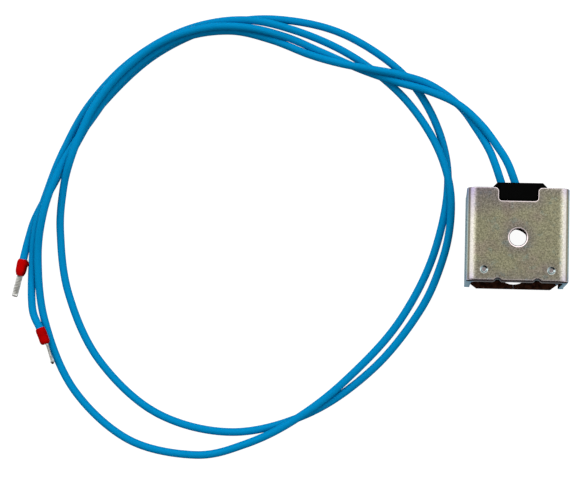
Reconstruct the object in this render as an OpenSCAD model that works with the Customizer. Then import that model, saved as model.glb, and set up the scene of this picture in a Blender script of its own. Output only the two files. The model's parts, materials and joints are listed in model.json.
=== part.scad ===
// Solenoid valve coil: a moulded coil held in a folded steel yoke, with two flying leads.
// Z is the axis of the bore. The yoke lies on its rear flanges at z = 0 with the front plate on top,
// and the leads leave the lead block towards +Y and loop round on the surface that the yoke lies on.

/* [Yoke] */
// Width over both side walls
yoke_w = 36.6; // [34:0.1:42]
// Height of the front plate, from its lower edge to its top edge
yoke_h = 34.3; // [33:0.1:40]
// Depth from the rear flanges to the face of the front plate
yoke_d = 30; // [27:0.5:40]
// Distance from the bore axis down to the lower edge of the front plate
axis_drop = 16.1; // [15.6:0.1:17]
// Thickness of the steel sheet
sheet_t = 2; // [1.5:0.1:2.4]
// Inside radius of the four bends
bend_r = 2; // [0.5:0.1:2.4]
// Gap at the seam between the two rear flanges
seam_gap = 0.05; // [0.05:0.05:0.6]
// Length by which the rear flanges reach below the front plate
rear_drop = 0.6; // [0.2:0.1:0.8]
// Length by which the rear flanges stop below the top edge of the front plate
rear_fall = 1.2; // [0.2:0.1:1.6]
// Side of the corner cut at the foot of each rear flange
rear_corner = 2.5; // [1.5:0.1:3]

/* [Yoke openings] */
// Diameter of the stud hole in the front plate
stud_hole_d = 6; // [5:0.1:9]
// Width of the rolled edge round the stud hole
edge_roll = 0.65; // [0.1:0.05:0.8]
// Width of the notch in the top edge of the front plate
notch_w = 13.4; // [10:0.1:15]
// Depth of the notch
notch_depth = 4.8; // [3.5:0.1:5.5]
// Radius of the two corners where the notch opens
notch_lip_r = 1.7; // [0.5:0.1:2]
// Radius of the two corners at the root of the notch
notch_root_r = 0.9; // [0.3:0.1:1.5]
// Distance from the bore axis down to the centre of the rear slot's round end
slot_reach = 9.1; // [6:0.1:9.5]
// Distance between the two tab reliefs in the lower edge of the front plate
relief_pitch = 14; // [10:0.5:18]
// Mean width of a tab relief
relief_w = 2; // [1.6:0.1:3]
// Depth of a tab relief
relief_depth = 1; // [0.5:0.1:1.5]
// Width that a tab relief's sloping sides add from its root to the edge
relief_flare = 0.7; // [0.2:0.1:1.2]

/* [Half shears] */
// Distance of each half shear from the middle of the plate
shear_x = 11.9; // [10:0.1:12.5]
// Distance of the half shears below the bore axis
shear_drop = 11.7; // [10:0.05:12.5]
// Diameter of the recess at the face of the plate
shear_d = 2.7; // [2.2:0.1:3.2]
// Diameter of the floor of the recess
shear_floor_d = 1.4; // [1.2:0.1:2.1]
// Depth of the recess
shear_depth = 0.9; // [0.5:0.1:1.2]
// Diameter of the pip that the half shear raises on the inner face
pip_d = 2.6; // [2:0.1:3]
// Height of that pip
pip_h = 0.8; // [0.4:0.1:1]
// Clearance round and under a pip in its socket
pip_play = 0.2; // [0.1:0.05:0.4]

/* [Coil] */
// Diameter of the bore that takes the armature tube
bore_d = 11.7; // [10:0.1:12.8]
// Lead-in at each mouth of the bore
bore_lead_in = 0.4; // [0.2:0.1:0.6]
// Wall of the bobbin's tube
bobbin_wall = 1; // [0.8:0.1:1.3]
// Thickness of each bobbin flange
bobbin_flange_t = 1.2; // [0.8:0.1:2]
// Radial build of the winding
winding_build = 5.3; // [3.5:0.1:5.6]
// Build of the tape over the winding
tape_t = 0.3; // [0.2:0.1:0.5]
// Wall of the moulding over the tape
mould_wall = 1.55; // [1.2:0.05:1.8]
// Thickness of the moulding outside each bobbin flange
mould_end = 2; // [1.6:0.1:2.6]
// Thickness of the moulding's end plates
end_plate_t = 3; // [2.4:0.1:4]
// Radius of the end plates' corners
end_corner_r = 2; // [1:0.1:3]
// Reach of the front end plate below the bore axis
front_end_drop = 15; // [14.6:0.1:15.4]
// Reach of the rear end plate below the bore axis
rear_end_drop = 13.8; // [13:0.1:14.2]
// Reach of both end plates above the bore axis
end_rise = 16.4; // [15.5:0.1:16.7]
// Clearance between the end plates and each side wall
side_play = 0.3; // [0.2:0.1:0.6]
// Clearance between the moulding and the front plate
end_play = 0.2; // [0.1:0.1:0.5]

/* [Lead block] */
// Width of the lead block
block_w = 19; // [17:0.5:21]
// Offset of the lead block from the middle of the yoke
block_shift = 0.6; // [0:0.1:0.8]
// Side of the bevel on the block's two top corners
block_bevel = 1.4; // [0.6:0.1:1.5]
// Distance from the inner face of the rear flanges to the block
block_setback = 4; // [3:0.1:6]
// Depth of the block's key below the face of the front plate
key_recess = 0.4; // [0.2:0.1:1]
// Length by which the key stops short of the block's top
key_drop = 0.25; // [0.1:0.05:0.6]
// Clearance round the key in the notch
key_play = 0.25; // [0.1:0.05:0.5]

/* [Connections] */
// Diameter of the twisted tail of magnet wire at each end of the winding
wire_d = 0.5; // [0.3:0.05:0.6]
// Distance from the bore axis to the run of the start wire along the coil
wire_run = 13.3; // [13.1:0.05:13.5]
// Outside diameter of a crimp terminal
terminal_d = 2.2; // [1.9:0.1:2.4]
// Length of a crimp terminal
terminal_len = 3; // [2.4:0.1:3.2]
// Depth to which the magnet wire enters its terminal
wire_grip = 0.6; // [0.4:0.1:0.9]
// Bared length of core between the terminal and the lead's insulation
core_bare = 0.6; // [0.3:0.1:0.8]
// Length of a lead's insulation that the block holds
tail_grip = 2.3; // [1.6:0.1:4]

/* [Leads] */
// Diameter of a lead over its insulation
lead_d = 2.8; // [2.3:0.1:2.9]
// Diameter of a lead's stranded core
core_d = 1.3; // [1:0.1:1.5]
// Distance between the two leads at the block
lead_pitch = 5.1; // [4:0.1:5.6]
// Height of the leads above the rear face where they leave the block
lead_z = 15; // [13:0.5:17]

/* [Ferrules] */
// Length of the insulating collar
collar_len = 6.4; // [6:0.1:8]
// Largest diameter of the collar
collar_d = 3.9; // [3.4:0.1:4.2]
// Diameter of the collar at its mouth
collar_mouth_d = 3.2; // [3.1:0.1:3.5]
// Diameter of the collar at its nose
collar_nose_d = 2.5; // [2.3:0.1:2.8]
// Depth to which the insulated lead enters the collar
lead_grip = 4; // [3:0.1:4.6]
// Clearance round the lead in the collar
collar_play = 0.05; // [0.03:0.01:0.1]
// Length of the crimped pin
pin_len = 8; // [6:0.1:10]
// Width of the crimped pin
pin_w = 2.3; // [2:0.1:2.4]
// Thickness of the crimped pin
pin_t = 1.35; // [1.2:0.05:1.6]
// Outside diameter of the sleeve inside the collar
sleeve_d = 1.9; // [1.7:0.1:2.1]
// Wall of the sleeve
sleeve_wall = 0.2; // [0.15:0.05:0.25]
// Length of the step where the round sleeve turns into the flat pin
sleeve_step = 0.4; // [0.3:0.05:0.6]
// Number of crimp grooves along each flat of the pin
groove_count = 5; // [3:1:6]
// Depth of a crimp groove
groove_depth = 0.1; // [0.05:0.01:0.12]

/* [Hidden] */
$fn = 64;
cut = 1;
inner_w = yoke_w - 2 * sheet_t;
inner_d = yoke_d - 2 * sheet_t;
plate_top = yoke_h - axis_drop;
plate_foot = -axis_drop;
rear_foot = plate_foot - rear_drop;
front_inner = yoke_d - sheet_t;
mould_rear = sheet_t;
mould_front = front_inner - end_play;
bore_r = bore_d / 2;
tube_r = bore_r + bobbin_wall;
winding_r = tube_r + winding_build;
coil_r = winding_r + tape_t;
body_r = coil_r + mould_wall;
flange_rear = mould_rear + mould_end;
flange_front = mould_front - mould_end;
winding_rear = flange_rear + bobbin_flange_t;
winding_front = flange_front - bobbin_flange_t;
terminal_foot = body_r;
terminal_top = terminal_foot + terminal_len;
tail_foot = terminal_top + core_bare;
block_top = tail_foot + tail_grip;
start_wire_z = winding_rear - wire_d / 2;
socket_depth = pip_h - end_play + pip_play;
pin_foot = collar_len;
groove_r = 0.4;
lead_sides = 8;
rings_per_step = 2;

// Each lead: where it leaves the block, where it enters its ferrule, and the ferrule's heading and roll.
exits = [[-lead_pitch, block_top, lead_z], [0, block_top, lead_z]];
ferrule_at = [[-186.7, -9.5, collar_d / 2], [-178.8, -36, 4.3]];
ferrule_heading = [-102, -68];
ferrule_roll = [0, 90];

// Route of each lead between its exit and its ferrule: down to the surface, once and a half round the
// loop, with low humps where it crosses the other lead.
route_mid = [
    [
        [-6.5, 24.25, 14.8], [-8, 28.75, 13.8], [-10.25, 34.5, 11.8], [-14.75, 42.5, 8.3],
        [-21.5, 52, 5.2], [-32.75, 60, 4.7], [-44.75, 63.5, 5.9], [-54.25, 65, 7.1],
        [-66.5, 67.25, 6.7], [-78.75, 71.25, 3.4], [-93.75, 77.25, 1.7], [-109.5, 80.25, 3.2],
        [-127, 77.25, 4.5], [-142.5, 68.25, 4.4], [-153.5, 57.25, 4.4], [-161.5, 45.75, 4.4],
        [-168.25, 35.25, 4.7], [-174.25, 22.75, 6.6], [-178.75, 7.75, 6.9], [-180.75, -9.75, 3.3],
        [-177.5, -33.25, 1.5], [-165.25, -58.75, 1.5], [-143.5, -77, 1.5], [-117.75, -82, 1.6],
        [-98.5, -77.25, 3.1], [-80.75, -68, 4.7], [-62.25, -53, 2.7], [-42.25, -30, 1.5],
        [-29, -1.5, 1.5], [-25.75, 30, 1.5], [-38.25, 59, 1.5], [-63.25, 78.5, 1.5],
        [-90.25, 85.25, 1.5], [-114, 82.75, 1.5], [-139, 70.75, 1.5], [-159.25, 50.75, 1.5],
        [-169.25, 33.75, 1.5], [-175.75, 21.25, 1.5], [-182.75, 7.25, 1.5], [-185.25, -1.25, 1.6]
    ],
    [
        [-1.5, 24.25, 14.9], [-3.5, 29.25, 14.2], [-6.75, 34.75, 12.9], [-12.75, 44, 10.6],
        [-21.75, 51.75, 8.3], [-32.75, 57, 6.5], [-45.75, 61, 4.8], [-59.25, 65.75, 4],
        [-73.75, 72.25, 2.5], [-88.25, 78.25, 2.8], [-103.75, 81.25, 5.3], [-119.75, 80.25, 7.4],
        [-136.5, 74.25, 7.3], [-150.5, 63, 7.2], [-160, 50.5, 7.4], [-165, 39.75, 7.7],
        [-169, 28.25, 7.6], [-172, 17.25, 4.3], [-173, 1, 1.6], [-168.75, -22.5, 1.5],
        [-156, -47.25, 1.5], [-133, -66.75, 1.5], [-103.75, -73, 1.5], [-75, -65, 1.5],
        [-51.5, -47.75, 1.5], [-34.75, -26, 1.5], [-26.75, -7.25, 1.7], [-23.75, 9, 2.9],
        [-25, 24.25, 4.7], [-31.75, 40.75, 3.9], [-44.75, 57.75, 1.7], [-64.25, 72.25, 1.5],
        [-86, 81, 3.6], [-105.75, 84.25, 4.7], [-127.5, 80.25, 3.2], [-148, 68.5, 1.5],
        [-163.75, 51, 1.6], [-172.75, 32.75, 3.1], [-177.75, 17.75, 4.5], [-182.25, 2.25, 3.8],
        [-183.75, -13.25, 1.8], [-183, -25.5, 2]
    ]
];

function unit(v) = v / norm(v);
function heading(a) = [cos(a), sin(a), 0];
function on_table(p) = [p.x, p.y, max(p.z, lead_d / 2)];

// Point at share t of the step after route point i, on a smooth curve through all route points.
function curve_at(p, i, t) =
    let (
        a = i > 0 ? p[i - 1] : 2 * p[0] - p[1],
        b = p[i],
        c = p[i + 1],
        d = p[i + 2]
    )
    0.5 * (2 * b + (c - a) * t + (2 * a - 5 * b + 4 * c - d) * t * t + (3 * b - a - 3 * c + d) * t * t * t);

// Outside radius of a collar at share u of its length: a barrel that narrows to its mouth and nose.
function collar_r(u) =
    let (ends = collar_mouth_d / 2 * (1 - u) + collar_nose_d / 2 * u)
    ends + (collar_d / 2 - ends) * pow(1 - pow(abs(2 * u - 1), 4), 0.25);

// Rectangle centred on X with its lower edge at y = 0 and four round corners.
module round_rect(w, h, r) {
    translate([-w / 2 + r, 0]) square([w - 2 * r, h]);
    translate([-w / 2, r]) square([w, h - 2 * r]);
    for (x = [-1, 1], y = [r, h - r]) translate([x * (w / 2 - r), y]) circle(r);
}

// Section of the folded sheet, seen along Y: plate, two walls and two rear flanges.
module sheet_section() {
    difference() {
        round_rect(yoke_w, yoke_d, bend_r + sheet_t);
        translate([0, sheet_t]) round_rect(inner_w, inner_d, bend_r);
        translate([-seam_gap / 2, -cut]) square([seam_gap, sheet_t + 2 * cut]);
    }
}

// Outline of the notch for the lead block, with round lips at the top and round roots.
module notch_outline() {
    root = plate_top - notch_depth;
    translate([0, root]) round_rect(notch_w, notch_depth + cut + notch_root_r, notch_root_r);
    for (side = [-1, 1]) translate([side * (notch_w / 2 + notch_lip_r), plate_top - notch_lip_r])
        difference() {
            translate([side > 0 ? -notch_lip_r : 0, 0]) square([notch_lip_r, notch_lip_r]);
            circle(notch_lip_r);
        }
}

module tab_relief_outline() {
    polygon([
        [-(relief_w + relief_flare) / 2, plate_foot],
        [-(relief_w - relief_flare) / 2, plate_foot + relief_depth],
        [(relief_w - relief_flare) / 2, plate_foot + relief_depth],
        [(relief_w + relief_flare) / 2, plate_foot]
    ]);
}

// Slot in the rear flanges: the bore's width, carried down to a round end.
module rear_slot_outline() {
    circle(bore_r);
    translate([0, -slot_reach]) circle(bore_r);
    translate([-bore_r, -slot_reach]) square([bore_d, slot_reach]);
}

// Corner cut that frees the foot of a rear flange from its side wall.
module rear_corner_outline() {
    polygon([
        [inner_w / 2, rear_foot - cut],
        [inner_w / 2, rear_foot + rear_corner],
        [inner_w / 2 - rear_corner, rear_foot],
        [inner_w / 2 - rear_corner, rear_foot - cut]
    ]);
}

// Cut along the top of both walls, seen along X: level with the plate at the front, lower at the rear.
module rear_fall_outline() {
    polygon([
        [plate_top - rear_fall, -cut],
        [plate_top - rear_fall, sheet_t + bend_r],
        [plate_top, front_inner - bend_r],
        [plate_top + cut, front_inner - bend_r],
        [plate_top + cut, -cut]
    ]);
}

module at_half_shears() {
    for (side = [-1, 1]) translate([side * shear_x, -shear_drop, 0]) children();
}

module yoke_frame() {
    flare_per_mm = (shear_d - shear_floor_d) / shear_depth;
    color([0.55, 0.53, 0.42]) difference() {
        union() {
            translate([0, plate_top, 0]) rotate([90, 0, 0])
                linear_extrude(yoke_h + rear_drop) sheet_section();
            at_half_shears() translate([0, 0, front_inner - pip_h])
                cylinder(d = pip_d, h = pip_h + sheet_t / 2);
        }
        translate([-yoke_w, rear_foot - cut, sheet_t]) cube([2 * yoke_w, rear_drop + cut, yoke_d]);
        translate([-yoke_w, 0, 0]) rotate([90, 0, 90]) linear_extrude(2 * yoke_w) rear_fall_outline();
        translate([0, 0, front_inner - cut]) linear_extrude(sheet_t + 2 * cut) {
            notch_outline();
            for (side = [-1, 1]) translate([side * relief_pitch / 2, 0]) tab_relief_outline();
        }
        translate([0, 0, -cut]) linear_extrude(cut + sheet_t + bend_r) {
            rear_slot_outline();
            rear_corner_outline();
            mirror([1, 0]) rear_corner_outline();
        }
        translate([0, 0, front_inner - cut]) cylinder(d = stud_hole_d, h = sheet_t + 2 * cut);
        translate([0, 0, yoke_d - edge_roll])
            cylinder(d1 = stud_hole_d, d2 = stud_hole_d + 4 * edge_roll, h = 2 * edge_roll);
        at_half_shears() translate([0, 0, yoke_d - shear_depth])
            cylinder(d1 = shear_floor_d, d2 = shear_d + flare_per_mm * cut, h = shear_depth + cut);
    }
}

// End plate of the moulding, from drop below the axis up to end_rise.
module end_plate(drop) {
    translate([0, -drop, 0]) linear_extrude(end_plate_t)
        round_rect(inner_w - 2 * side_play, drop + end_rise, end_corner_r);
}

// Both end plates, with their outer edges rounded to clear the yoke's bends.
module end_plates() {
    intersection() {
        union() {
            translate([0, 0, mould_rear]) end_plate(rear_end_drop);
            translate([0, 0, mould_front - end_plate_t]) end_plate(front_end_drop);
        }
        translate([0, yoke_h, mould_rear]) rotate([90, 0, 0]) linear_extrude(2 * yoke_h)
            round_rect(inner_w - 2 * side_play, mould_front - mould_rear, bend_r);
    }
}

// Lead block seen along Z: it stands on the round body and has two bevelled top corners.
module block_outline() {
    half = block_w / 2;
    translate([block_shift, 0]) polygon([
        [-half, 0], [half, 0], [half, block_top - block_bevel], [half - block_bevel, block_top],
        [-half + block_bevel, block_top], [-half, block_top - block_bevel]
    ]);
}

// Key of the lead block that fills the notch in the front plate.
module key_outline() {
    key_w = notch_w - 2 * key_play;
    key_foot = plate_top - notch_depth + key_play;
    key_h = block_top - key_drop - key_foot;
    translate([0, key_foot]) round_rect(key_w, key_h, notch_root_r);
    translate([-key_w / 2, key_foot + key_h / 2]) square([key_w, key_h / 2]);
}

module coil_moulding() {
    block_rear = mould_rear + block_setback;
    color([0.07, 0.07, 0.075]) difference() {
        union() {
            translate([0, 0, mould_rear]) cylinder(r = body_r, h = mould_front - mould_rear);
            end_plates();
            translate([0, 0, block_rear]) linear_extrude(mould_front - block_rear) block_outline();
            translate([0, 0, mould_front - end_plate_t])
                linear_extrude(yoke_d - key_recess - mould_front + end_plate_t) key_outline();
        }
        translate([0, 0, mould_rear - cut]) cylinder(r = tube_r, h = yoke_d);
        translate([0, 0, flange_rear]) cylinder(r = coil_r, h = flange_front - flange_rear);
        at_half_shears() translate([0, 0, mould_front - socket_depth])
            cylinder(d = pip_d + 2 * pip_play, h = socket_depth + cut);
        start_wire_form();
        finish_wire_form();
        for (i = [0, 1]) {
            terminal_form(i);
            along_tail(i, terminal_top) cylinder(d = core_d, h = core_bare);
            along_tail(i, tail_foot) cylinder(d = lead_d, h = tail_grip + cut);
        }
    }
}

module bobbin() {
    color([0.1, 0.1, 0.105]) difference() {
        union() {
            translate([0, 0, mould_rear]) cylinder(r = tube_r, h = mould_front - mould_rear);
            for (z = [flange_rear, winding_front]) translate([0, 0, z])
                cylinder(r = coil_r, h = bobbin_flange_t);
        }
        translate([0, 0, mould_rear - cut]) cylinder(d = bore_d, h = yoke_d);
        translate([0, 0, mould_rear - bore_lead_in])
            cylinder(d1 = bore_d + 4 * bore_lead_in, d2 = bore_d, h = 2 * bore_lead_in);
        translate([0, 0, mould_front - bore_lead_in])
            cylinder(d1 = bore_d, d2 = bore_d + 4 * bore_lead_in, h = 2 * bore_lead_in);
        translate([exits[0].x - wire_d / 2, tube_r, flange_rear - cut])
            cube([wire_d, coil_r, bobbin_flange_t + 2 * cut]);
    }
}

module winding() {
    color([0.72, 0.4, 0.2]) translate([0, 0, winding_rear]) difference() {
        cylinder(r = winding_r, h = winding_front - winding_rear);
        translate([0, 0, -cut]) cylinder(r = tube_r, h = yoke_d);
    }
}

module winding_tape() {
    color([0.88, 0.74, 0.25]) difference() {
        translate([0, 0, winding_rear]) cylinder(r = coil_r, h = winding_front - winding_rear);
        translate([0, 0, winding_rear - cut]) cylinder(r = winding_r, h = yoke_d);
        finish_wire_form();
    }
}

// Puts a form that stands on +Z onto lead i's line inside the block, at height y above the bore axis.
module along_tail(i, y) {
    translate([exits[i].x, y, lead_z]) rotate([-90, 0, 0]) children();
}

// Start wire: out of the flange's slot, along the coil and up into its terminal.
module start_wire_form() {
    x = exits[0].x;
    translate([x, tube_r, start_wire_z]) rotate([-90, 0, 0]) cylinder(d = wire_d, h = wire_run - tube_r);
    translate([x, wire_run, start_wire_z]) sphere(d = wire_d);
    translate([x, wire_run, start_wire_z]) cylinder(d = wire_d, h = lead_z - start_wire_z);
    translate([x, wire_run, lead_z]) sphere(d = wire_d);
    along_tail(0, wire_run) cylinder(d = wire_d, h = terminal_foot + wire_grip - wire_run);
}

// Finish wire: from the last layer of the winding straight up into its terminal.
module finish_wire_form() {
    along_tail(1, winding_r) cylinder(d = wire_d, h = terminal_foot + wire_grip - winding_r);
}

module start_wire() {
    color([0.75, 0.38, 0.16]) start_wire_form();
}

module finish_wire() {
    color([0.75, 0.38, 0.16]) difference() {
        finish_wire_form();
        translate([0, 0, winding_rear]) cylinder(r = winding_r, h = winding_front - winding_rear);
    }
}

module terminal_form(i) {
    along_tail(i, terminal_foot) cylinder(d = terminal_d, h = terminal_len);
}

// Crimp terminal: a barrel with the magnet wire in its foot and the lead's core in its mouth.
module terminal(i) {
    color([0.78, 0.66, 0.36]) difference() {
        terminal_form(i);
        along_tail(i, terminal_foot - cut) cylinder(d = wire_d, h = wire_grip + cut);
        along_tail(i, terminal_foot + wire_grip) cylinder(d = core_d, h = terminal_len);
    }
}

module start_terminal() {
    terminal(0);
}

module finish_terminal() {
    terminal(1);
}

// Stranded core of a lead inside the block, from the terminal to the top of the block.
module tail_core(i) {
    color([0.76, 0.5, 0.32]) along_tail(i, terminal_foot + wire_grip)
        cylinder(d = core_d, h = block_top - terminal_foot - wire_grip);
}

module tail_core_1() {
    tail_core(0);
}

module tail_core_2() {
    tail_core(1);
}

// Insulation of a lead inside the block, up to the face where the free lead begins.
module lead_tail(i) {
    color([0, 0.5, 0.74]) along_tail(i, tail_foot) difference() {
        cylinder(d = lead_d, h = tail_grip);
        translate([0, 0, -cut]) cylinder(d = core_d, h = block_top);
    }
}

module lead_tail_1() {
    lead_tail(0);
}

module lead_tail_2() {
    lead_tail(1);
}

// Free lead i, swept along its route: it starts flat on the block and ends square inside its collar.
module lead(i) {
    out = heading(ferrule_heading[i]);
    inner_end = ferrule_at[i] + lead_grip * out;
    route = concat([exits[i]], route_mid[i], [ferrule_at[i], inner_end]);
    steps = len(route) - 2;
    curve = [for (s = [0:steps - 1]) for (k = [0:rings_per_step - 1])
        on_table(curve_at(route, s, k / rings_per_step))];
    path = concat(curve, [ferrule_at[i], inner_end]);
    last = len(path) - 1;
    dirs = [for (k = [0:last]) k == 0 ? [0, 1, 0] : k >= last - 1 ? out : unit(path[k + 1] - path[k - 1])];
    n = lead_sides;
    points = [for (k = [0:last]) for (j = [0:n - 1])
        let (a = 360 * (j + 0.5) / n, side = unit(cross(dirs[k], [0, 0, 1])), up = cross(side, dirs[k]))
        path[k] + lead_d / 2 * (cos(a) * side + sin(a) * up)];
    skin = [for (k = [0:last - 1]) for (j = [0:n - 1])
        [k * n + j, k * n + (j + 1) % n, (k + 1) * n + (j + 1) % n, (k + 1) * n + j]];
    caps = [[for (j = [n - 1:-1:0]) j], [for (j = [0:n - 1]) last * n + j]];
    color([0, 0.52, 0.76]) polyhedron(points, concat(skin, caps));
}

module lead_1() {
    lead(0);
}

module lead_2() {
    lead(1);
}

// Puts a form that stands on +Z onto ferrule i, with its mouth where the lead enters.
module along_ferrule(i) {
    translate(ferrule_at[i]) rotate([0, 0, ferrule_heading[i]]) rotate([0, 90, 0])
        rotate([0, 0, ferrule_roll[i]]) children();
}

// Section of the crimped pin: a round tube pressed flat, shrunk all round by inset.
module pin_section(inset) {
    intersection() {
        circle(d = pin_w - 2 * inset);
        square([pin_t - 2 * inset, pin_w], center = true);
    }
}

module ferrule_collar(i) {
    steps = 16;
    skin = [for (k = [0:steps]) [collar_r(k / steps), collar_len * k / steps]];
    color([0.68, 0.02, 0.02]) along_ferrule(i) difference() {
        rotate_extrude() polygon(concat([[0, 0]], skin, [[0, collar_len]]));
        translate([0, 0, -cut]) cylinder(r = lead_d / 2 + collar_play, h = lead_grip + cut);
        cylinder(d = sleeve_d, h = collar_len + cut);
    }
}

module ferrule_collar_1() {
    ferrule_collar(0);
}

module ferrule_collar_2() {
    ferrule_collar(1);
}

// Metal sleeve: a tube inside the collar, then the pin, pressed flat with grooves across both flats.
module ferrule_sleeve(i) {
    pitch = pin_len / (groove_count + 1);
    color([0.76, 0.76, 0.74]) along_ferrule(i) difference() {
        union() {
            translate([0, 0, lead_grip]) cylinder(d = sleeve_d, h = pin_foot + sleeve_step - lead_grip);
            translate([0, 0, pin_foot]) linear_extrude(pin_len) pin_section(0);
        }
        strand_form();
        for (flat = [-1, 1], k = [1:groove_count])
            translate([flat * (pin_t / 2 + groove_r - groove_depth), 0, pin_foot + k * pitch])
                rotate([90, 0, 0]) cylinder(r = groove_r, h = pin_w + cut, center = true);
    }
}

module ferrule_sleeve_1() {
    ferrule_sleeve(0);
}

module ferrule_sleeve_2() {
    ferrule_sleeve(1);
}

// Strands inside the sleeve: round in the collar and pressed flat in the pin, flush with its tip.
module strand_form() {
    inside_d = sleeve_d - 2 * sleeve_wall;
    translate([0, 0, lead_grip]) cylinder(d = inside_d, h = pin_foot - lead_grip);
    translate([0, 0, pin_foot]) linear_extrude(sleeve_step) intersection() {
        circle(d = inside_d);
        pin_section(sleeve_wall);
    }
    translate([0, 0, pin_foot + sleeve_step]) linear_extrude(pin_len - sleeve_step) pin_section(sleeve_wall);
}

module strand_core_1() {
    color([0.7, 0.42, 0.26]) along_ferrule(0) strand_form();
}

module strand_core_2() {
    color([0.7, 0.42, 0.26]) along_ferrule(1) strand_form();
}

yoke_frame();
coil_moulding();
bobbin();
winding();
winding_tape();
start_wire();
finish_wire();
start_terminal();
finish_terminal();
tail_core_1();
tail_core_2();
lead_tail_1();
lead_tail_2();
lead_1();
lead_2();
ferrule_collar_1();
ferrule_collar_2();
ferrule_sleeve_1();
ferrule_sleeve_2();
strand_core_1();
strand_core_2();
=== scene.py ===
"""Looks of the solenoid valve coil: folded yoke, moulded coil, blue leads and red ferrules.

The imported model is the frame. Lengths are in millimetres until a mesh is made.
"""
import json

import bmesh
import bpy
import numpy as np
from mathutils import Matrix, Vector
from mathutils.geometry import delaunay_2d_cdt


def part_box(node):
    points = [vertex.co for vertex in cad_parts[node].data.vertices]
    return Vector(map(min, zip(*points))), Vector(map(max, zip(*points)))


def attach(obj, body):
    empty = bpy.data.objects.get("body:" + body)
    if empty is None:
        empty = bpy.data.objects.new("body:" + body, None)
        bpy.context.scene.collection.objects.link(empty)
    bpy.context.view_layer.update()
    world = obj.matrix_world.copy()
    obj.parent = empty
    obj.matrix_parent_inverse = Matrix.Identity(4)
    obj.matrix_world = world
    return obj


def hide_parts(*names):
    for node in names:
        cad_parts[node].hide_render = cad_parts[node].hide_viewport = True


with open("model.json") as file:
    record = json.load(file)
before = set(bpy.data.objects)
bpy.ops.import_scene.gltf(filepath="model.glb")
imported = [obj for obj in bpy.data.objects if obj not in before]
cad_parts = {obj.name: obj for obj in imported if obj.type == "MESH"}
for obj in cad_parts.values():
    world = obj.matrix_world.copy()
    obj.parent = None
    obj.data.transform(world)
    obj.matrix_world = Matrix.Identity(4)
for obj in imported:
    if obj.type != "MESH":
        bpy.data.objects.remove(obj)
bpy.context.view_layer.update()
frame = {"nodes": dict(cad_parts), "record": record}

MM = 0.001
TURN = 2 * np.pi

# Camera, nearly above the part and a little in front of it
CAMERA_AT = Vector((-31.2, -56.98, 588.0))
CAMERA_AIM = Vector((-83.81, 0.2, 0.0))
CAMERA_ROLL = np.radians(1.7)
CAMERA_LENS = 96.2
CAMERA_SENSOR = 36.0

# Leads: diameter, spacing and height at the block, length held in a collar, parts of each span of the
# curve, step and sides of the tube
LEAD_D = 2.94
LEAD_PITCH = 5.1
LEAD_Z = 15.0
LEAD_GRIP = 4.0
LEAD_PARTS = 24
LEAD_STEP = 1.0
LEAD_SIDES = 20

# Where each lead runs, from the block to its ferrule
LEAD_1_ROUTE = [
    (-6.5, 24.25, 14.8), (-8, 28.75, 13.8), (-10.25, 34.5, 11.8), (-14.75, 42.5, 8.3),
    (-21.5, 52, 5.2), (-32.75, 60, 4.7), (-44.75, 63.5, 5.9), (-54.25, 65, 7.1), (-66.5, 67.25, 6.7),
    (-78.75, 71.25, 3.4), (-93.75, 77.25, 1.7), (-109.5, 80.25, 3.2), (-127, 77.25, 4.5),
    (-142.5, 68.25, 4.4), (-153.5, 57.25, 4.4), (-161.5, 45.75, 4.4), (-168.25, 35.25, 4.7),
    (-174.25, 22.75, 6.6), (-178.75, 7.75, 6.9), (-180.75, -9.75, 3.8), (-177.5, -33.25, 1.5),
    (-165.25, -58.75, 1.5), (-143.5, -77, 1.5), (-117.75, -82, 1.6), (-98.5, -77.25, 3.1),
    (-80.75, -68, 4.7), (-62.25, -53, 2.7), (-42.25, -30, 1.5), (-29, -1.5, 1.5), (-25.5, 30.2, 1.5),
    (-38, 59.2, 1.5), (-63.25, 78.5, 1.5), (-90.25, 85.25, 1.5), (-114, 82.75, 1.5),
    (-139, 70.75, 1.5), (-159.25, 50.75, 1.5), (-169.25, 33.75, 1.5), (-175.75, 21.25, 1.5),
    (-182.75, 7.25, 1.5), (-185.25, -1.25, 1.6),
]
LEAD_2_ROUTE = [
    (-1.5, 24.25, 14.9), (-3.5, 29.25, 14.2), (-6.75, 34.75, 12.9), (-13.1, 43.65, 10.6),
    (-21.75, 51.75, 8.3), (-32.75, 57, 6.5), (-45.75, 61, 4.8), (-59.25, 65.75, 4),
    (-73.75, 72.25, 2.5), (-88.25, 78.25, 2.8), (-103.75, 81.25, 5.3), (-119.75, 80.25, 7.4),
    (-136.5, 74.25, 7.3), (-150.5, 63, 7.2), (-160, 50.5, 7.4), (-165, 39.75, 7.7), (-169, 28.25, 7.6),
    (-172, 17.25, 4.3), (-173, 1, 1.6), (-168.75, -22.5, 1.5), (-156, -47.25, 1.5),
    (-133, -66.75, 1.5), (-103.75, -73, 1.5), (-75, -65, 1.5), (-51.5, -47.75, 1.5),
    (-34.75, -26, 1.5), (-26.75, -7.25, 1.7), (-23.75, 9, 2.9), (-25, 24.25, 4.7),
    (-31.75, 40.75, 3.9), (-44.75, 57.75, 1.7), (-64.25, 72.25, 1.5), (-86, 81, 3.6),
    (-105.75, 84.25, 4.7), (-127.5, 80.25, 3.2), (-148, 68.5, 1.5), (-163.75, 51, 1.6),
    (-172.75, 32.75, 3.1), (-177.75, 17.75, 4.5), (-182.1, 2.25, 3.8), (-183.4, -13.25, 1.8),
    (-182.4, -28.5, 2.5),
]

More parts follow.
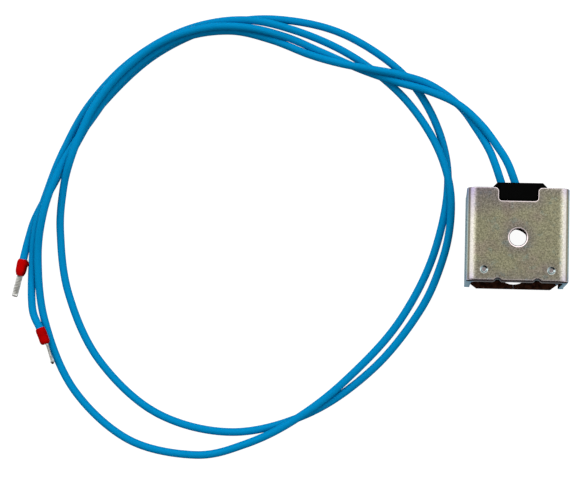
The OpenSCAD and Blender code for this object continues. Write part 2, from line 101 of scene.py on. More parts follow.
# Collars: length, rows, power of the taper at the nose, waist in shares of the length, burr along the
# collar and about its axis, mould lines, and the side towards the leads that takes painted shade
COLLAR_LEN = 6.4
COLLAR_ROWS = 49
NOSE_POWER = 2.4
WAIST_AT = 0.52
WAIST_RUN = 0.14
WAIST_DEPTH = 0.05
BURR_AT = 1.5
BURR_RUN = 0.85
BURR_ANGLE = 0.3
BURR_SPREAD = 0.35
MOULD_LINE_H = 0.03
MOULD_LINE_W = 0.06
SHADED_SIDE_ANGLE = 0.15
SHADED_SIDE_FROM = 0.65

# Sleeves and pins: section and reach into the collar, the tip's flare, the stretches over which a pin
# flattens, bends and is set aside, the crimp teeth between collar and tip, and the strands
RING_SIDES = 64
SLEEVE_R = 0.95
SLEEVE_WALL = 0.2
SLEEVE_IN = 1.2
PIN_W = 2.32
PIN_T = 1.05
PIN_FLARE = 0.24
FLARE_RUN = (0.9, 0.1)
FLAT_FROM = COLLAR_LEN - 0.3
FLAT_TO = COLLAR_LEN + 0.5
BEND_HALF_RUN = 0.3
ASIDE_HALF_RUN = 0.6
CRIMP_FROM = COLLAR_LEN + 1.3
CRIMP_END_GAP = 0.7
CRIMP_FADE = 0.3
TOOTH_PITCH = 1.15
TOOTH_SLANT = 0.6
TOOTH_DEPTH = 0.03
TOOTH_WAVE = 0.9
TOOTH_LIFT = 0.35
STRAND_R = 0.11
STRAND_PITCH = 2.04 * STRAND_R
STRAND_ROOM = 1.25 * STRAND_R
STRAND_SIDES = 8
STRAND_SEED = 30

# For each ferrule: where it takes its lead and which way it points; how its pin is turned, bent and set
# aside; its collar's radius, what that loses at the mouth and at the nose, each with the share of the
# length where the loss ends or starts, and its burr; its pin's length; the least and the most that its
# strands stand out; and how much painted shade darkens its collar's red all round
FERRULES = [
    {"entry": (-186.9, -9.7, 2.14), "heading": np.radians(-99.5), "roll": 0.0,
     "bend": np.radians(-2.4), "aside": 0.0,
     "radius": 2.14, "mouth": (0.52, 0.22), "nose": (0.82, 0.5), "burr": 1.0, "pin": 8.0,
     "strands": (0.1, 0.3), "depth": 0.0},
    {"entry": (-178.65, -36.05, 4.3), "heading": np.radians(-66.5), "roll": 1.32,
     "bend": np.radians(-4.0), "aside": 0.4,
     "radius": 1.92, "mouth": (0.3, 0.16), "nose": (0.65, 0.8), "burr": 0.0, "pin": 7.5,
     "strands": (0.35, 0.6), "depth": 0.32},
]

# Yoke sheet: bends, seam, rolled and broken edges, then the notch, the tab reliefs, the freed corners,
# the rear slot and the corners' radii
SHEET = 2.0
BEND_IN = 2.0
BEND_OUT = BEND_IN + SHEET
BEND_MEAN = BEND_IN + SHEET / 2
SEAM_GAP = 0.05
EDGE_INSET = 0.6
EDGE_ROLL = 0.4
EDGE_LEAN = 0.25
FOOT_ROLL = 1.8
HOLE_INSET = 0.65
HOLE_ROLL = 0.65
EDGE_BREAK = 0.12
EDGE_COUNT = 8
REAR_ROLL = 0.2
REAR_ROLL_RUN = 3.0
FOOT_REACH = 1.6
NOTCH_W = 13.4
NOTCH_DEPTH = 4.8
NOTCH_LIP_R = 1.7
NOTCH_ROOT_R = 0.9
RELIEF_AT = 7.0
RELIEF_MOUTH = 2.6
RELIEF_ROOT = 0.9
RELIEF_DEPTH = 1.0
RELIEF_LIP_R = 1.2
RELIEF_ROOT_R = 0.25
PLATE_FOOT = -16.1
FREED_FROM = np.radians(8)
FREED_TO = np.radians(52)
FREED_STEP = 0.3
FREED_LIP_R = 0.7
FREED_ROOT_R = 0.2
FREED_END_R = 0.55
REAR_CORNER = 2.5
REAR_FALL = 1.2
FOOT_FALL = 0.4
SLOT_REACH = 9.1
SLOT_EASE = 0.2
BEND_EDGE_R = 3.0
CHAMFER_R = 0.7
SMALL_R = 0.15

# Mesh of the sheet: longest side of its outline; points of its faces across plate, bend, wall, bend and
# flange, their rows, their least gap from the outline and the gap at which they merge; sides of the hole
# and of the half shears; and a hair's breadth for comparing
OUTLINE_STEP = 0.35
FIELD_COUNTS = (18, 13, 28, 13, 18)
FIELD_ROWS = 40
FIELD_GAP = 0.3
FIELD_MERGE = 1e-5
HOLE_SIDES = 96
SHEAR_SIDES = 48
HAIR = 0.01

# Half shears: place, radius of the flat round each, (radius, depth) of the struck face and of the raised
# one, and the radii between which the struck face is burnished
SHEAR_AT = (11.9, -11.7)
SHEAR_FIELD_R = 1.75
SHEAR_FRONT = [
    (SHEAR_FIELD_R, 0.0), (1.44, 0.0), (1.4, 0.01), (1.35, 0.05), (0.84, 0.5), (0.79, 0.54),
    (0.74, 0.56), (0.68, 0.56), (0.3, 0.56), (0.0, 0.56),
]
SHEAR_REAR = [
    (SHEAR_FIELD_R, SHEET), (1.38, SHEET), (1.32, SHEET + 0.03), (1.3, SHEET + 0.1),
    (1.3, SHEET + 0.64), (1.27, SHEET + 0.74), (1.18, SHEET + 0.8), (0.6, SHEET + 0.8),
    (0.0, SHEET + 0.8),
]
STRUCK_FROM = 0.76
STRUCK_TO = 1.42

# Tones of the yoke: wear of its rolled edges, and more at the notch; how dark the seam is; where painted
# shade darkens the foot's roll, the rear flanges' cut, the inner side and the hole's wall; how far from
# an edge a half shear's rim counts; and the place of the darker corner
EDGE_WEAR = 0.3
NOTCH_WEAR = 0.45
NOTCH_WEAR_PAST = 2.0
SEAM_DARK = 0.6
STEEP_FROM = 0.22
FOOT_SHADE_PAST = 0.1
FLANGE_BENDS = 1.6
INNER_BAND = 0.05
HOLE_SHADE_Y = -1.5
SHEAR_EDGE_GAP = 1.5
DARK_CORNER_AT = (-14.0, 16.0, 30.0)

# Moulding: rounding of its edges, and the gap and the turn below which points and faces are joined
MOULDING_ROUND = 0.25
MOULDING_GAP = 0.002
MOULDING_TURN = np.radians(0.5)

# Floor: the grey that light falls on, the white that is seen, its reach and level in metres
FLOOR_GREY = 0.2
FLOOR_WHITE = 0.96
FLOOR_REACH = 2.5
FLOOR_LEVEL = -0.00004

# Light tent: strength of the dome and of the opening overhead, the opening's place, stretch, edge and
# tone, and the direction of the dark side
DOME = 1.46
OPENING = 0.115
OPENING_AT = (0.0, 0.1, 0.0)
OPENING_STRETCH = (1.0, 1.6, 0.0)
OPENING_EDGE = (0.1, 0.78)
OPENING_TINT_EDGE = (0.1, 0.5)
OPENING_TONE = (1.0, 0.96, 0.46)
DARK_SIDE = (-0.53, -0.85, 0.0)

# How the tent's strength changes with direction: from, to, and the factor at both
BACK_RISE = (-0.9, 0.6, 0.27, 1.46)
DARK_FALL = (0.42, 0.82, 1.0, 0.03)
RIGHT_FALL = (-0.2, 0.9, 1.0, 0.88)
HORIZON_FALL = (0.0, 0.12, 0.7, 1.0)
LOW_BAND = (0.2, 0.5, 1.0, 0.0)
LOW_BACK_FALL = (0.1, 0.6, 0.0, -0.75)

# Welding: cells per millimetre, and the offset that keeps round numbers off the cells' borders
WELD_CELLS = 1e4
WELD_OFFSET = 0.137


# Meshes

def weld(points, faces):
    """Joins points that lie in the same small cell, and drops faces that close up."""
    keys = np.floor(points * WELD_CELLS + WELD_OFFSET).astype(np.int64)
    _, first, index = np.unique(keys, axis=0, return_index=True, return_inverse=True)
    faces = index.reshape(-1)[faces]
    whole = (faces[:, 0] != faces[:, 1]) & (faces[:, 1] != faces[:, 2]) & (faces[:, 2] != faces[:, 0])
    return first, faces[whole]


def triangles(quads):
    """Two triangles for each four-sided face."""
    return np.concatenate([quads[:, [0, 1, 2]], quads[:, [0, 2, 3]]])


def grid_quads(rows, columns, ring_rows=False, ring_columns=True):
    """Four-sided faces of a grid of points, closed along rows or columns where asked."""
    row = np.arange(rows if ring_rows else rows - 1)[:, None]
    column = np.arange(columns if ring_columns else columns - 1)[None, :]
    next_row = (row + 1) % rows
    next_column = (column + 1) % columns
    corners = [row * columns + column, row * columns + next_column,
               next_row * columns + next_column, next_row * columns + column]
    return np.stack([np.broadcast_to(c, (len(row), column.shape[1])).ravel() for c in corners], axis=1)


def ease(value, start, end):
    """Smooth step from 0 at start to 1 at end: t * t * (3 - 2 t)."""
    t = np.clip((value - start) / (end - start), 0.0, 1.0)
    return t * t * (3 - 2 * t)


def whole_turn(sides):
    """Angles of a ring of points."""
    return np.linspace(0.0, TURN, sides, endpoint=False)


def dress(mesh, material, sharp):
    """Gives a mesh its material and smooth shading, crisp where it turns by more than sharp."""
    mesh.shade_smooth()
    mesh.set_sharp_from_angle(angle=sharp)
    mesh.materials.clear()
    mesh.materials.append(material)


def stand_in(name, mesh, node):
    """An object on the root body that stands for one CAD node."""
    piece = bpy.data.objects.new(name, mesh)
    bpy.context.collection.objects.link(piece)
    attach(piece, "root")
    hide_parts(node)
    return piece


def make_piece(name, points, faces, node, material, sharp, values=None):
    """A closed mesh piece that stands for one CAD node.

    points are millimetres, faces are triangles, values are named numbers per point.
    """
    first, faces = weld(points, faces)
    mesh = bpy.data.meshes.new(name)
    mesh.from_pydata(points[first] * MM, [], faces.tolist())
    for key, numbers in (values or {}).items():
        layer = mesh.attributes.new(key, "FLOAT", "POINT")
        layer.data.foreach_set("value", np.ascontiguousarray(numbers[first], dtype=np.float32))
    solid = bmesh.new()
    solid.from_mesh(mesh)
    bmesh.ops.recalc_face_normals(solid, faces=solid.faces)
    solid.to_mesh(mesh)
    solid.free()
    dress(mesh, material, sharp)
    return stand_in(name, mesh, node)


# Materials

def link_or_set(tree, socket, value):
    """Links a socket to another node's output, or sets its plain value."""
    if isinstance(value, bpy.types.NodeSocket):
        tree.links.new(value, socket)
    else:
        socket.default_value = value


def add(tree, kind, inputs=None, **settings):
    """A node with its settings and inputs."""
    made = tree.nodes.new(kind)
    for key, value in settings.items():
        setattr(made, key, value)
    for key, value in (inputs or {}).items():
        link_or_set(tree, made.inputs[key], value)
    return made


def reckon(tree, operation, *values):
    """One step of arithmetic on numbers."""
    return add(tree, "ShaderNodeMath", dict(enumerate(values)), operation=operation).outputs[0]


def reckon_vectors(tree, operation, *values, output="Vector"):
    """One step of arithmetic on vectors, whose result is a vector or a number."""
    made = add(tree, "ShaderNodeVectorMath", dict(enumerate(values)), operation=operation)
    return made.outputs[output]


def surface_value(tree, name):
    """A named number that the surface's points carry."""
    return add(tree, "ShaderNodeAttribute", attribute_name=name).outputs["Fac"]


def start_material(name, **sockets):
    """A material, its node tree and its shader, with the plain sockets set."""
    material = bpy.data.materials.new(name)
    material.use_nodes = True
    tree = material.node_tree
    shader = tree.nodes["Principled BSDF"]
    for key, value in sockets.items():
        shader.inputs[key.replace("_", " ")].default_value = value
    return material, tree, shader


def place_in_mm(tree):
    """Object coordinates in millimetres."""
    place = add(tree, "ShaderNodeTexCoord").outputs["Object"]
    scale = (1 / MM, 1 / MM, 1 / MM)
    return add(tree, "ShaderNodeMapping", {"Vector": place, "Scale": scale}).outputs["Vector"]


def noise(tree, place, size, detail=2.0):
    """Soft noise whose grains are about size millimetres across."""
    return add(tree, "ShaderNodeTexNoise", {
        "Vector": place, "Scale": 1.0 / size, "Detail": detail,
    }).outputs["Fac"]


def spread(tree, value, low, high, to_low=0.0, to_high=1.0):
    """Maps low..high of a value smoothly to to_low..to_high."""
    return add(tree, "ShaderNodeMapRange", {
        "Value": value, "From Min": low, "From Max": high, "To Min": to_low, "To Max": to_high,
    }, interpolation_type="SMOOTHSTEP").outputs["Result"]


def uneven(tree, place, size, low, high, detail=3.0):
    """Noise whose middle stretch goes from low to high."""
    return spread(tree, noise(tree, place, size, detail), 0.3, 0.7, low, high)


def mix(tree, factor, first, second, mode="MIX"):
    """Colour mix of first and second by factor, whose sockets are 6 and 7, with the result at 2."""
    made = tree.nodes.new("ShaderNodeMix")
    made.data_type = "RGBA"
    made.blend_type = mode
    for index, value in ((0, factor), (6, first), (7, second)):
        link_or_set(tree, made.inputs[index], value)
    return made.outputs[2]


def rgb(red, green, blue):
    """Colour with full alpha."""
    return (red, green, blue, 1.0)


def relief(tree, shader, height, depth):
    """Bump of depth millimetres from a height of 0 to 1."""
    bump = add(tree, "ShaderNodeBump", {"Height": height, "Strength": 1.0, "Distance": depth * MM})
    tree.links.new(bump.outputs["Normal"], shader.inputs["Normal"])


def passivated_steel():
    """Zinc plate with a yellowish film: soft clouds of three tones, tones that follow the height, a
    darker, bluer patch at the top left corner, a pinkish band along every cut edge, rolled grain,
    burnished rolls and half shears. Down the bends and walls most height tones are painted shade, with a
    painted pale line, and painted shade in a near black brown that is not metal covers the inner faces
    and shaded edges."""
    material, tree, shader = start_material("passivated_steel", Specular_IOR_Level=0.0,
                                            Specular_Tint=rgb(0.18, 0.32, 0.38))
    place = place_in_mm(tree)
    height = add(tree, "ShaderNodeSeparateXYZ", {"Vector": place}).outputs["Z"]
    edge = surface_value(tree, "edge")
    worn = surface_value(tree, "worn")
    struck = surface_value(tree, "struck")
    inner = surface_value(tree, "inner")
    olive = rgb(0.53, 0.51, 0.38)
    pink = rgb(0.52, 0.46, 0.39)
    teal = rgb(0.43, 0.50, 0.44)
    cloud = spread(tree, noise(tree, place, 9.0), 0.5, 0.72)
    tone = mix(tree, cloud, olive, pink)
    drift = spread(tree, noise(tree, place, 2.6, detail=3.0), 0.56, 0.74, 0.0, 0.8)
    tone = mix(tree, drift, tone, teal)
    # Tones that take over on the way down, from and to in millimetres, and the tone: a paler, more
    # neutral tone on the bends, then painted shade in a dark band where they turn down, a painted pale
    # line below it, and painted shade in dark teal down the walls and flanges
    height_tones = (
        (29.95, 29.5, rgb(0.60, 0.57, 0.52)),
        (29.12, 28.72, rgb(0.25, 0.23, 0.17)),
        (28.3, 27.6, rgb(0.5, 0.57, 0.55)),
        (27.0, 26.2, rgb(0.26, 0.36, 0.37)),
    )
    for high, low, height_tone in height_tones:
        tone = mix(tree, spread(tree, height, high, low), tone, height_tone)
    corner = reckon_vectors(tree, "DISTANCE", place, DARK_CORNER_AT, output="Value")
    dark_corner = spread(tree, corner, 2.0, 12.0, 0.9, 0.0)
    tone = mix(tree, dark_corner, tone, rgb(0.72, 0.68, 0.88), mode="MULTIPLY")
    near = spread(tree, edge, 0.3, 5.5, 0.75, 0.0)
    tone = mix(tree, near, tone, rgb(0.78, 0.72, 0.98), mode="MULTIPLY")
    # Rolled grain, weaker below the plate
    coarse = uneven(tree, place, 0.55, 0.76, 1.24, detail=1.0)
    fine = uneven(tree, place, 0.3, 0.82, 1.18, detail=1.0)
    speck = reckon(tree, "MULTIPLY", coarse, fine)
    speckle = add(tree, "ShaderNodeCombineColor", {"Red": speck, "Green": speck, "Blue": speck})
    grain = spread(tree, height, 29.9, 29.3, 1.0, 0.35)
    tone = mix(tree, grain, tone, speckle.outputs["Color"], mode="MULTIPLY")
    tone = mix(tree, worn, tone, rgb(0.82, 0.71, 0.72))
    tone = mix(tree, struck, tone, rgb(0.5, 0.6, 0.61))
    # Painted shade: near black brown, not metal, in patches, on the inner faces and shaded cut edges
    shade_patches = spread(tree, noise(tree, place, 1.6, detail=4.0), 0.35, 0.68)
    brown = mix(tree, shade_patches, rgb(0.016, 0.006, 0.0035), rgb(0.06, 0.021, 0.012))
    tone = mix(tree, inner, tone, brown)
    tree.links.new(tone, shader.inputs["Base Color"])
    tree.links.new(reckon(tree, "SUBTRACT", 1.0, inner), shader.inputs["Metallic"])
    rough = uneven(tree, place, 0.5, 0.26, 0.34)
    bright = reckon(tree, "MAXIMUM", worn, struck)
    smooth = reckon(tree, "MULTIPLY_ADD", bright, -0.15, rough)
    tree.links.new(smooth, shader.inputs["Roughness"])
    relief(tree, shader, noise(tree, place, 0.42), 0.007)
    return material


def blue_insulation():
    """Extruded blue plastic: faint lengthwise streaks, small pits and rubbed patches."""
    material, tree, shader = start_material("blue_insulation", Specular_IOR_Level=0.015)
    place = place_in_mm(tree)
    along = add(tree, "ShaderNodeUVMap", uv_map="run").outputs["UV"]
    drawn = add(tree, "ShaderNodeMapping", {"Vector": along, "Scale": (0.03, 2.2, 1.0)})
    streak = spread(tree, noise(tree, drawn.outputs["Vector"], 1.0, detail=3.0), 0.35, 0.7)
    tone = mix(tree, streak, rgb(0.0, 0.225, 0.51), rgb(0.0, 0.25, 0.545))
    patch = spread(tree, noise(tree, place, 7.0, detail=4.0), 0.55, 0.75, 0.0, 0.5)
    tone = mix(tree, patch, tone, rgb(0.0, 0.205, 0.475))
    tree.links.new(tone, shader.inputs["Base Color"])
    rough = uneven(tree, place, 1.4, 0.5, 0.68, detail=4.0)
    tree.links.new(rough, shader.inputs["Roughness"])
    relief(tree, shader, noise(tree, place, 0.45, detail=3.0), 0.012)
    return material


def moulded_plastic(name, dark, light, gloss, grain, painted_shade_tone=None):
    """Moulded plastic: two close tones, a satin grain and uneven gloss, and where a shade tone is given,
    painted shade in that tone by the surface's own share of it."""
    material, tree, shader = start_material(name, Specular_IOR_Level=gloss)
    place = place_in_mm(tree)
    tone = mix(tree, spread(tree, noise(tree, place, 2.5, detail=4.0), 0.35, 0.7), dark, light)
    if painted_shade_tone:
        # Painted shade in the given tone, by the surface's own share
        tone = mix(tree, surface_value(tree, "shade"), tone, painted_shade_tone)
    tree.links.new(tone, shader.inputs["Base Color"])
    rough = uneven(tree, place, 0.8, 0.42, 0.6)
    tree.links.new(rough, shader.inputs["Roughness"])
    relief(tree, shader, noise(tree, place, 0.16), grain)
    return material


def worked_metal(name, dark, light, grain_size, low, high):
    """Bare or plated metal: stained between two tones, with fine drawn grain and a roughness from low to
    high."""
    material, tree, shader = start_material(name, Metallic=1.0)
    place = place_in_mm(tree)
    tone = mix(tree, spread(tree, noise(tree, place, 1.2, detail=4.0), 0.35, 0.65), dark, light)
    tree.links.new(tone, shader.inputs["Base Color"])
    rough = uneven(tree, place, grain_size, low, high)
    tree.links.new(rough, shader.inputs["Roughness"])
    relief(tree, shader, noise(tree, place, grain_size), 0.006)
    return material


STEEL = passivated_steel()
BLUE = blue_insulation()
BLACK = moulded_plastic("black_moulding", rgb(0.0003, 0.0003, 0.0004), rgb(0.0006, 0.0006, 0.0007),
                        gloss=0.03, grain=0.006)
# The collars' red: the darkest tone given is painted shade
RED = moulded_plastic("red_collar", rgb(0.44, 0.0, 0.0), rgb(0.54, 0.0, 0.0),
                      gloss=0.015, grain=0.008, painted_shade_tone=rgb(0.12, 0.0, 0.0))
FORMER = moulded_plastic("bobbin_plastic", rgb(0.0006, 0.0006, 0.0006), rgb(0.001, 0.001, 0.001),
                         gloss=0.0, grain=0.005)
FILM = moulded_plastic("tape_film", rgb(0.62, 0.42, 0.06), rgb(0.74, 0.54, 0.1), gloss=0.5, grain=0.002)
TIN = worked_metal("tinned_sleeve", rgb(0.32, 0.32, 0.31), rgb(0.48, 0.48, 0.46),
                   grain_size=0.12, low=0.3, high=0.45)
COPPER = worked_metal("strand_copper", rgb(0.05, 0.024, 0.016), rgb(0.16, 0.075, 0.05),
                      grain_size=0.1, low=0.4, high=0.6)
ENAMEL = worked_metal("magnet_wire", rgb(0.5, 0.2, 0.07), rgb(0.62, 0.3, 0.13),
                      grain_size=0.2, low=0.2, high=0.35)
BRASS = worked_metal("terminal_brass", rgb(0.6, 0.45, 0.18), rgb(0.74, 0.6, 0.3),
                     grain_size=0.2, low=0.25, high=0.4)


# Camera

def set_camera():
    """Camera whose back points from aim to place, turned by the roll about its own axis."""
    back = (CAMERA_AT - CAMERA_AIM).normalized()
    right = Vector((0, 1, 0)).cross(back).normalized()
    up = back.cross(right)
    turned = right * np.cos(CAMERA_ROLL) + up * np.sin(CAMERA_ROLL)
    axes = Matrix((turned, back.cross(turned), back)).transposed()
    lens = bpy.data.cameras.new("camera")
    lens.lens = CAMERA_LENS
    lens.sensor_width = CAMERA_SENSOR
    lens.sensor_fit = "HORIZONTAL"
    lens.clip_start = 0.01
    camera = bpy.data.objects.new("camera", lens)
    camera.matrix_world = Matrix.Translation(CAMERA_AT * MM) @ axes.to_4x4()
    bpy.context.collection.objects.link(camera)
    bpy.context.scene.camera = camera


set_camera()


# Ferrules

def level_way(heading):
    """Unit vector that lies level at a heading."""
    return np.stack([np.cos(heading), np.sin(heading), np.zeros_like(heading)], axis=-1)


def ferrule_point(ferrule, along, side, up):
    """Point of a ferrule: entry + held * axis + free * bent axis + side * across + up * over.

    Held and free are the lengths in the collar and beyond it. The axis lies level at the heading, and
    the bend turns it beyond the collar. Across and over are square to it and turned by the roll.
    """
    along, side, up = np.broadcast_arrays(along, side, up)
    roll = ferrule["roll"]
    held_way = ferrule["heading"]
    free_way = held_way + ferrule["bend"]
    bent = ease(along, COLLAR_LEN - BEND_HALF_RUN, COLLAR_LEN + BEND_HALF_RUN)
    heading = held_way + ferrule["bend"] * bent
    level = np.stack([-np.sin(heading), np.cos(heading), np.zeros_like(heading)], axis=-1)
    upright = np.array([0.0, 0.0, 1.0])
    across = level * np.cos(roll) + upright * np.sin(roll)
    over = upright * np.cos(roll) - level * np.sin(roll)
    held = np.minimum(along, COLLAR_LEN)[..., None] * level_way(held_way)
    free = np.maximum(along - COLLAR_LEN, 0.0)[..., None] * level_way(free_way)
    return np.array(ferrule["entry"]) + held + free + side[..., None] * across + up[..., None] * over


def collar(number, ferrule):
    """Red collar: a closed profile turned about the ferrule's axis.

    With u from the mouth to the nose, the outside radius is the full one, less m (1 - u / a)^2 up to a,
    less n ((u - b) / (1 - b))^2.4 from b on, less a soft waist, plus two mould lines and the burr.
    Painted shade darkens the red by the ferrule's own depth all round, and on a collar with a burr also
    on the side that faces the leads.
    """
    u = np.linspace(0.0, 1.0, COLLAR_ROWS)
    mouth, mouth_end = ferrule["mouth"]
    nose, nose_start = ferrule["nose"]
    outside = ferrule["radius"] - mouth * np.clip(1 - u / mouth_end, 0.0, 1.0) ** 2
    outside = outside - nose * np.clip((u - nose_start) / (1 - nose_start), 0.0, 1.0) ** NOSE_POWER
    outside = outside - WAIST_DEPTH * np.exp(-((u - WAIST_AT) / WAIST_RUN) ** 2)
    # Inside, from the nose back to the mouth: close round the sleeve, a step, then close round the lead
    step = LEAD_GRIP + 0.1
    inside_along = np.array([COLLAR_LEN, COLLAR_LEN, step, step, 0.9, 0.35, 0.06])
    inside_r = np.array([SLEEVE_R] * 3 + [LEAD_D / 2] * 4) + (0.12, 0.04, 0.04, 0.05, 0.05, 0.06, 0.08)
    along = np.concatenate([u * COLLAR_LEN, inside_along])[:, None]
    radius = np.concatenate([outside, inside_r])[:, None]
    skin = np.concatenate([np.ones_like(u), np.zeros_like(inside_r)])[:, None]
    angle = whole_turn(RING_SIDES)[None, :]
    line = MOULD_LINE_H * np.exp(-(np.sin(angle) / MOULD_LINE_W) ** 2)
    off_burr = np.angle(np.exp(1j * (angle - BURR_ANGLE)))
    burr = ferrule["burr"] * np.exp(-(off_burr / BURR_SPREAD) ** 2 - ((along - BURR_AT) / BURR_RUN) ** 2)
    radius = radius + skin * (line * np.sin(np.pi * along / COLLAR_LEN) + burr)
    points = ferrule_point(ferrule, along, radius * np.cos(angle), radius * np.sin(angle))
    # Painted shade: the side that faces the leads, on a collar with a burr, and the ferrule's share all
    # round
    leads_side_shade = ease(np.cos(angle - SHADED_SIDE_ANGLE), SHADED_SIDE_FROM, 1.0) * (ferrule["burr"] > 0)
    shade = leads_side_shade + ferrule["depth"] + 0 * along
    faces = triangles(grid_quads(len(along), RING_SIDES, ring_rows=True))
    return make_piece(f"ferrule_collar_skin_{number}", points.reshape(-1, 3), faces,
                      f"ferrule_collar_{number}", RED, sharp=np.radians(50),
                      values={"shade": shade.ravel()})


def rounded(wave, power):
    """Power of a wave's size that keeps its sign."""
    return np.sign(wave) * np.abs(wave) ** power


def pin_section(along, angle, inset, tip):
    """Side and up of the pin's section: round in the collar, flattened where the pin leaves it.

    side = half width * |cos|^(2/n), up = half thickness * |sin|^(2/n), with n from 2 to 3, less crimp
    teeth that cut both faces in a slanted wave and nick both edges. The thickness flares at the tip.
    """
    flat = ease(along, FLAT_FROM, FLAT_TO)
    flare = PIN_FLARE * ease(along, tip - FLARE_RUN[0], tip - FLARE_RUN[1])
    power = 2.0 / (2.0 + flat)
    across = rounded(np.cos(angle), power)
    over = rounded(np.sin(angle), power)
    end = tip - CRIMP_END_GAP
    crimped = (np.clip((along - CRIMP_FROM) / CRIMP_FADE, 0, 1)
               * np.clip((end - along) / CRIMP_FADE, 0, 1))
    phase = TURN * ((along - CRIMP_FROM) / TOOTH_PITCH + TOOTH_SLANT * across)
    tooth = TOOTH_DEPTH * crimped * np.clip(TOOTH_WAVE * np.sin(phase) + TOOTH_LIFT, 0.0, 1.0)
    half_w = SLEEVE_R + (PIN_W / 2 - SLEEVE_R) * flat - inset - tooth
    half_t = SLEEVE_R + (PIN_T / 2 - SLEEVE_R) * flat + flare - inset - tooth
    return half_w * across, half_t * over


def sleeve(number, ferrule):
    """Tinned sleeve: the pin's section carried along the axis, outside to the tip and back inside by the
    wall. The pin is set aside from the axis where it leaves the collar."""
    tip = COLLAR_LEN + ferrule["pin"]
    start = COLLAR_LEN - SLEEVE_IN
    out_along = np.concatenate([np.linspace(start, COLLAR_LEN + SLEEVE_IN, 14),
                                np.linspace(COLLAR_LEN + SLEEVE_IN + 0.08, tip - 0.12, 96),
                                [tip - 0.04, tip]])
    out_inset = np.concatenate([np.zeros(len(out_along) - 2), [0.02, 0.08]])
    in_along = np.concatenate([[tip - 0.06], np.linspace(tip - 0.2, start, 30)])
    in_inset = np.full(len(in_along), SLEEVE_WALL)
    along = np.concatenate([out_along, in_along])[:, None]
    inset = np.concatenate([out_inset, in_inset])[:, None]
    side, up = pin_section(along, whole_turn(RING_SIDES)[None, :], inset, tip)
    up = up - ferrule["aside"] * ease(along, COLLAR_LEN - ASIDE_HALF_RUN, COLLAR_LEN + ASIDE_HALF_RUN)
    points = ferrule_point(ferrule, along, side, up)
    faces = triangles(grid_quads(len(along), RING_SIDES, ring_rows=True))
    return make_piece(f"ferrule_sleeve_skin_{number}", points.reshape(-1, 3), faces,
                      f"ferrule_sleeve_{number}", TIN, sharp=np.radians(60))


def strands(number, ferrule):
    """Copper strands in the pin: round wires on a hexagonal grid, kept where (side / a)^4 + (up / b)^4
    is at most 1, with a and b the room in the pin's opening.

    Each wire is a ring of points carried towards the tip, closed behind and drawn in to a blunt end.
    """
    draw = np.random.default_rng(STRAND_SEED + number)
    tip = COLLAR_LEN + ferrule["pin"]
    row, column = np.meshgrid(np.arange(-6, 7), np.arange(-8, 9), indexing="ij")
    side = (column + 0.5 * (row % 2)) * STRAND_PITCH
    up = row * STRAND_PITCH * np.sqrt(0.75)
    room_w = PIN_W / 2 - SLEEVE_WALL - STRAND_ROOM
    room_t = PIN_T / 2 + PIN_FLARE - SLEEVE_WALL - STRAND_ROOM
    kept = (np.abs(side) / room_w) ** 4 + (np.abs(up) / room_t) ** 4 <= 1.0
    side, up = side[kept][:, None, None], up[kept][:, None, None]
    count = len(side)
    reach = draw.uniform(*ferrule["strands"], size=(count, 1, 1))
    # Rings of a wire: place along it from its end, and share of its radius
    rings = np.array([[-0.9, 0.0], [-0.9, 1.0], [-0.5, 1.0], [-0.03, 1.0], [0.0, 0.75], [0.0, 0.0]])
    along = tip + reach + rings[None, :, 0:1]
    radius = STRAND_R * rings[None, :, 1:2]
    angle = whole_turn(STRAND_SIDES)[None, None, :]
    points = ferrule_point(ferrule, along, side + radius * np.cos(angle),
                           up + radius * np.sin(angle) - ferrule["aside"])
    wire = triangles(grid_quads(len(rings), STRAND_SIDES))
    starts = np.arange(count) * len(rings) * STRAND_SIDES
    faces = (wire[None] + starts[:, None, None]).reshape(-1, 3)
    return make_piece(f"strand_bundle_{number}", points.reshape(-1, 3), faces,
                      f"strand_core_{number}", COPPER, sharp=np.radians(50))


# Leads

def lead_line(exit_at, middle, ferrule):
    """Even points on the smooth curve through a lead's route, and their distances along it.

    Each span is the cubic between two points whose slope at each is half the step from the point before
    to the point after. The points before the first and after the last are mirror images of their
    neighbours, and no point lies lower than the lead's radius.
    """
    entry = np.array(ferrule["entry"])
    inside = entry + LEAD_GRIP * level_way(ferrule["heading"])
    knots = np.array([exit_at] + middle + [entry, inside], dtype=float)
    knots = np.concatenate([[2 * knots[0] - knots[1]], knots, [2 * knots[-1] - knots[-2]]])
    t = np.linspace(0.0, 1.0, LEAD_PARTS, endpoint=False)[None, :, None]
    a, b, c, d = (knots[k:len(knots) - 3 + k, None] for k in range(4))
    curve = 0.5 * (2 * b + (c - a) * t + (2 * a - 5 * b + 4 * c - d) * t ** 2
                   + (3 * b - a - 3 * c + d) * t ** 3)
    curve = np.concatenate([curve.reshape(-1, 3), knots[-2:-1]])
    curve[:, 2] = np.maximum(curve[:, 2], LEAD_D / 2)
    far = np.concatenate([[0.0], np.cumsum(np.linalg.norm(np.diff(curve, axis=0), axis=1))])
    even = np.linspace(0.0, far[-1], int(round(far[-1] / LEAD_STEP)) + 1)
    return np.stack([np.interp(even, far, curve[:, k]) for k in range(3)], axis=1), even


